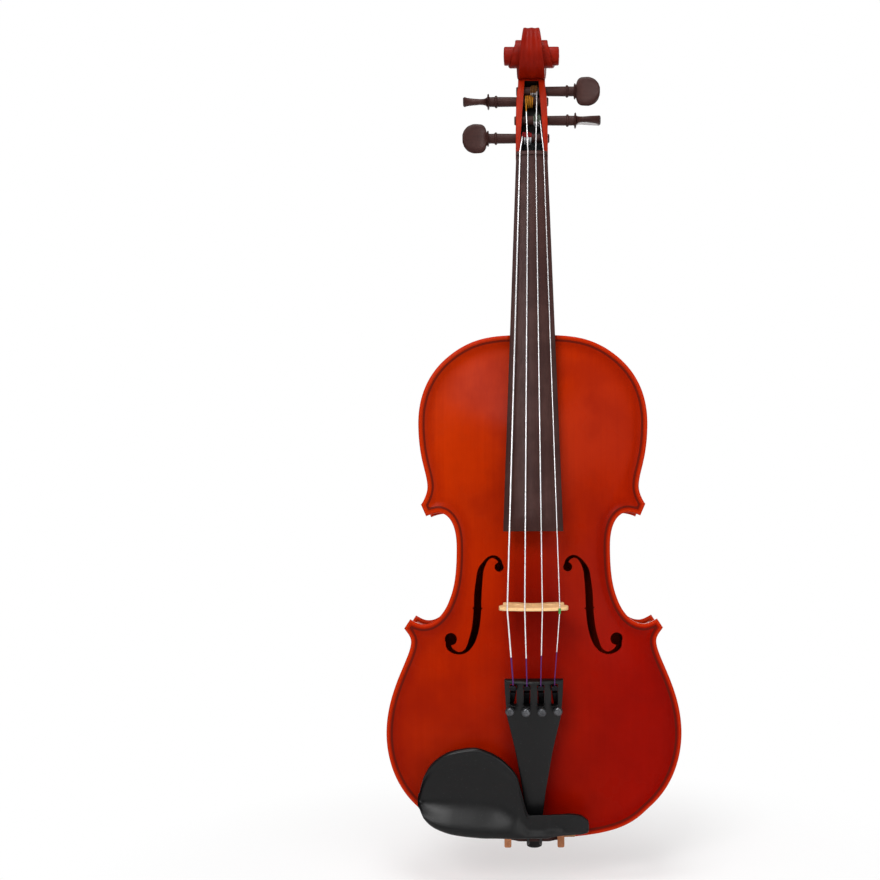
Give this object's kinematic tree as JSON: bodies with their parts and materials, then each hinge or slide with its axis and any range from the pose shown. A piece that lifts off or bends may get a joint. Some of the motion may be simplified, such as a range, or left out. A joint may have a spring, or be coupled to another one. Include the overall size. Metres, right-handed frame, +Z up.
{
  "type": "viola",
  "caption": "Viola with arched top and back, sound holes, neck with scroll, pegs, strings, bridge, tailpiece with fine tuners, end button and clamped chin rest.",
  "frame": {"origin": "point of the hanger seat, on the mid plane just under the round ends (ears) of the scroll, where the arms of a wall hanger carry the head", "axes": "+Z up along the body and neck to the scroll, -Y out of the top plate where the strings are, +X to the treble side, which is on the right seen from the front"},
  "size_m": [0.2312, 0.1072, 0.6583],
  "materials": {
    "varnished_wood": "orange-red gloss varnish over maple and spruce, darker towards the lower half",
    "neck_wood": "bare golden maple along the neck, red-brown varnish on the heel and the head",
    "bare_spruce": "bare wood",
    "bare_maple": "bare pale wood",
    "stained_hardwood": "dark brown stained hardwood, satin",
    "black_composite": "charcoal satin",
    "steel": "bright winding",
    "dark_steel": "black plated",
    "warm_metal": "plated, rose tint",
    "cork": "cork, matte",
    "gut": "black cord"
  },
  "bodies": {
    "viola": {"top_plate": "varnished_wood", "back_plate": "varnished_wood", "upper_rib_left": "varnished_wood", "upper_rib_right": "varnished_wood", "waist_rib_left": "varnished_wood", "waist_rib_right": "varnished_wood", "lower_rib_left": "varnished_wood", "lower_rib_right": "varnished_wood", "upper_top_lining_left": "bare_spruce", "upper_top_lining_right": "bare_spruce", "upper_back_lining_left": "bare_spruce", "upper_back_lining_right": "bare_spruce", "waist_top_lining_left": "bare_spruce", "waist_top_lining_right": "bare_spruce", "waist_back_lining_left": "bare_spruce", "waist_back_lining_right": "bare_spruce", "lower_top_lining_left": "bare_spruce", "lower_top_lining_right": "bare_spruce", "lower_back_lining_left": "bare_spruce", "lower_back_lining_right": "bare_spruce", "upper_block": "bare_spruce", "lower_block": "bare_spruce", "upper_corner_block_left": "bare_spruce", "upper_corner_block_right": "bare_spruce", "lower_corner_block_left": "bare_spruce", "lower_corner_block_right": "bare_spruce", "bass_bar": "bare_spruce", "sound_post": "bare_spruce", "neck": "neck_wood", "fingerboard": "stained_hardwood", "nut": "stained_hardwood", "saddle": "stained_hardwood", "bridge": "bare_maple", "c_string": "steel", "g_string": "steel", "d_string": "steel", "a_string": "steel", "tailpiece": "black_composite", "tuner_pin": "steel", "tail_gut": "gut", "end_button": "stained_hardwood", "chin_rest": "black_composite", "chin_rest_cork": "cork", "clamp_leg_left": "warm_metal", "clamp_leg_right": "warm_metal"},
    "c_peg": {"c_peg": "stained_hardwood"},
    "a_peg": {"a_peg": "stained_hardwood"},
    "g_peg": {"g_peg": "stained_hardwood"},
    "d_peg": {"d_peg": "stained_hardwood"},
    "c_tuner_lever": {"c_tuner_lever": "dark_steel"},
    "g_tuner_lever": {"g_tuner_lever": "dark_steel"},
    "d_tuner_lever": {"d_tuner_lever": "dark_steel"},
    "a_tuner_lever": {"a_tuner_lever": "dark_steel"},
    "c_tuner_screw": {"c_tuner_screw": "dark_steel"},
    "g_tuner_screw": {"g_tuner_screw": "dark_steel"},
    "d_tuner_screw": {"d_tuner_screw": "dark_steel"},
    "a_tuner_screw": {"a_tuner_screw": "dark_steel"},
    "clamp_barrel_left": {"clamp_barrel_left": "warm_metal"},
    "clamp_barrel_right": {"clamp_barrel_right": "warm_metal"},
    "clamp_bracket": {"clamp_bracket": "warm_metal"}
  },
  "joints": [
    {"name": "c_peg_turn", "type": "hinge", "parent": "viola", "child": "c_peg", "pos_m": [0, -0.005, -0.06051], "axis": [1, 0, 0], "continuous": true},
    {"name": "a_peg_turn", "type": "hinge", "parent": "viola", "child": "a_peg", "pos_m": [0, -0.0005, -0.04439], "axis": [1, 0, 0], "continuous": true},
    {"name": "g_peg_turn", "type": "hinge", "parent": "viola", "child": "g_peg", "pos_m": [0, 0.004, -0.02717], "axis": [1, 0, 0], "continuous": true},
    {"name": "d_peg_turn", "type": "hinge", "parent": "viola", "child": "d_peg", "pos_m": [0, 0.0069, -0.01751], "axis": [1, 0, 0], "continuous": true},
    {"name": "c_screw_travel", "type": "slide", "parent": "viola", "child": "c_tuner_screw", "axis": [0, 0.9804, 0.1971], "range_m": [0, 0.003]},
    {"name": "g_screw_travel", "type": "slide", "parent": "viola", "child": "g_tuner_screw", "axis": [0, 0.9804, 0.1971], "range_m": [0, 0.003]},
    {"name": "d_screw_travel", "type": "slide", "parent": "viola", "child": "d_tuner_screw", "axis": [0, 0.9804, 0.1971], "range_m": [0, 0.003]},
    {"name": "a_screw_travel", "type": "slide", "parent": "viola", "child": "a_tuner_screw", "axis": [0, 0.9804, 0.1971], "range_m": [0, 0.003]},
    {"name": "c_lever_pivot", "type": "hinge", "parent": "viola", "child": "c_tuner_lever", "pos_m": [-0.0155, -0.05963, -0.49469], "axis": [1, 0, 0], "range_deg": [0, 12]},
    {"name": "g_lever_pivot", "type": "hinge", "parent": "viola", "child": "g_tuner_lever", "pos_m": [-0.00517, -0.05963, -0.49469], "axis": [1, 0, 0], "range_deg": [0, 12]},
    {"name": "d_lever_pivot", "type": "hinge", "parent": "viola", "child": "d_tuner_lever", "pos_m": [0.00517, -0.05963, -0.49469], "axis": [1, 0, 0], "range_deg": [0, 12]},
    {"name": "a_lever_pivot", "type": "hinge", "parent": "viola", "child": "a_tuner_lever", "pos_m": [0.0155, -0.05963, -0.49469], "axis": [1, 0, 0], "range_deg": [0, 12]},
    {"name": "bracket_travel", "type": "slide", "parent": "viola", "child": "clamp_bracket", "axis": [0, 1, 0], "range_m": [0, 0.006]},
    {"name": "left_barrel_turn", "type": "hinge", "parent": "viola", "child": "clamp_barrel_left", "pos_m": [-0.0206, -0.0055, -0.62047], "axis": [0, 1, 0], "range_deg": [0, 1570]},
    {"name": "right_barrel_turn", "type": "hinge", "parent": "viola", "child": "clamp_barrel_right", "pos_m": [0.0206, -0.0055, -0.62047], "axis": [0, 1, 0], "range_deg": [0, 1570]}
  ],
  "couplings": [
    {"joint": "c_lever_pivot", "follows": "c_screw_travel", "rad_per_m": 66.225},
    {"joint": "g_lever_pivot", "follows": "g_screw_travel", "rad_per_m": 66.225},
    {"joint": "d_lever_pivot", "follows": "d_screw_travel", "rad_per_m": 66.225},
    {"joint": "a_lever_pivot", "follows": "a_screw_travel", "rad_per_m": 66.225},
    {"joint": "left_barrel_turn", "follows": "bracket_travel", "rad_per_m": 4488},
    {"joint": "right_barrel_turn", "follows": "bracket_travel", "rad_per_m": 4488}
  ]
}
